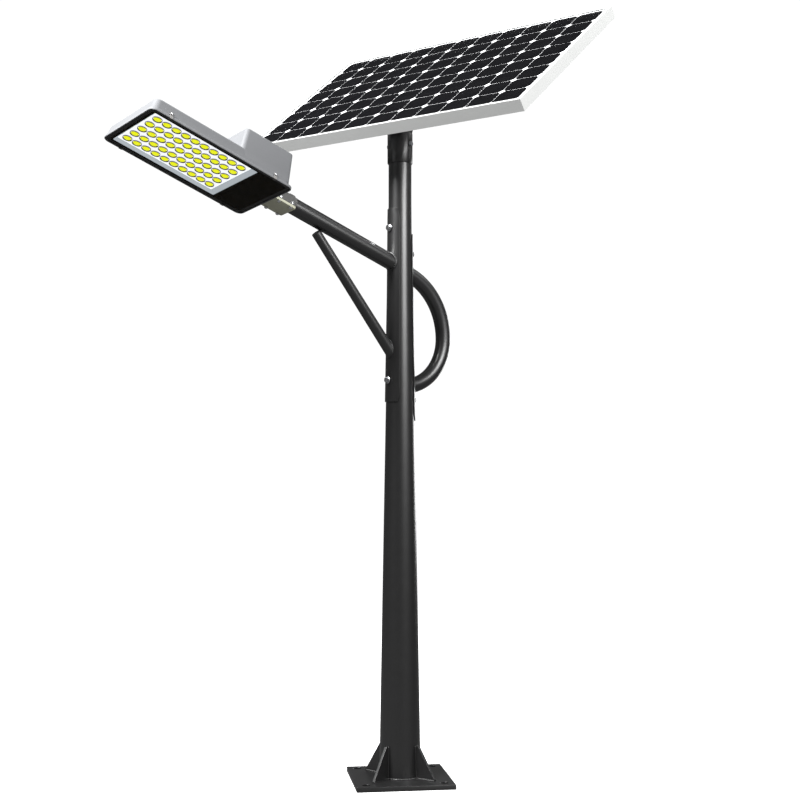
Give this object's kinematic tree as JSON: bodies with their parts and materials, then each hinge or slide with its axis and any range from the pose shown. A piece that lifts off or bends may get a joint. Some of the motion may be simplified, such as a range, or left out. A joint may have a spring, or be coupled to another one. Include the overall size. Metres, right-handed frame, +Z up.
{
  "type": "solar street lamp",
  "caption": "Short tapered lamp pole with a floodlight-style lamp head on a braced raking arm and a tilting solar panel on a collar at the top.",
  "frame": {"origin": "centre of the base plate's underside, on the pole's axis", "axes": "+Z up the pole, +X and +Y along the sides of the square base plate; the arm leans out towards -X and -Y"},
  "size_m": [1.835, 1.3519, 2.8516],
  "materials": {
    "pole_paint": "charcoal semi-gloss powder coat",
    "bright_steel": "bright zinc-plated fasteners",
    "plain_steel": "plain zinc steel",
    "cast_housing": "light grey powder coat on die-cast aluminium",
    "lamp_glass": "clear toughened glass with a printed black border",
    "black_rubber": "black silicone",
    "reflector": "bright silvered reflector",
    "led_board": "white solder mask",
    "led_phosphor": "yellow phosphor under a clear dome",
    "clip_steel": "bent stainless clip",
    "clamp_cast": "cast aluminium, dull",
    "driver_case": "satin aluminium case",
    "battery_wrap": "blue shrink wrap",
    "bracket_paint": "charcoal powder coat",
    "rail_metal": "mill-finish aluminium channel",
    "frame_aluminium": "clear-anodised satin aluminium",
    "panel_glass": "low-iron solar glass",
    "solar_cell": "black monocrystalline silicon",
    "back_sheet": "white back sheet",
    "black_plastic": "black moulded plastic"
  },
  "bodies": {
    "pole": {"base_plate": "pole_paint", "base_gussets": "pole_paint", "pole_shaft": "pole_paint", "arm_saddle": "pole_paint", "loop_saddle": "pole_paint", "arm_saddle_bolts": "bright_steel", "loop_saddle_bolts": "bright_steel", "rivet_nuts": "plain_steel", "arm_tube": "pole_paint", "arm_strut": "pole_paint", "strut_cap": "pole_paint", "loop_tube": "pole_paint"},
    "lamp_head": {"lamp_housing": "cast_housing", "lens_glass": "lamp_glass", "glass_gasket": "black_rubber", "reflector_tray": "reflector", "led_board": "led_board", "led_cups": "reflector", "led_emitters": "led_phosphor", "glass_clips": "clip_steel", "clip_screws": "bright_steel", "clamp_upper": "clamp_cast", "clamp_lower": "clamp_cast", "clamp_bolts": "bright_steel", "clamp_nuts": "bright_steel", "led_driver": "driver_case", "battery_pack": "battery_wrap", "battery_strap": "plain_steel", "cable_grommet": "black_rubber"},
    "collar": {"top_collar": "pole_paint", "collar_bolts": "plain_steel", "pivot_ears": "pole_paint", "pivot_bolt": "bright_steel", "pivot_nut": "bright_steel", "lock_bolts": "bright_steel"},
    "panel": {"tilt_arms": "bracket_paint", "lower_rail": "rail_metal", "upper_rail": "rail_metal", "arm_rail_bolts": "bright_steel", "frame_rail_bolts": "bright_steel", "frame_lower_bar": "frame_aluminium", "frame_upper_bar": "frame_aluminium", "frame_left_bar": "frame_aluminium", "frame_right_bar": "frame_aluminium", "frame_corner_keys": "rail_metal", "panel_glass": "panel_glass", "solar_cells": "solar_cell", "back_sheet": "back_sheet", "junction_box": "black_plastic", "junction_lid": "black_plastic", "junction_glands": "black_plastic"}
  },
  "joints": [
    {"name": "panel_yaw", "type": "hinge", "parent": "pole", "child": "collar", "pos_m": [0, 0, 2.35], "axis": [0, 0, 1], "range_deg": [-60, 30]},
    {"name": "panel_tilt", "type": "hinge", "parent": "collar", "child": "panel", "pos_m": [0, 0, 2.463], "axis": [0.6984, -0.7157, 0], "range_deg": [-22, 23]},
    {"name": "lamp_roll", "type": "hinge", "parent": "pole", "child": "lamp_head", "pos_m": [0, 0, 1.905], "axis": [-0.8181, -0.4498, 0.3584], "range_deg": [-15, 15]}
  ]
}
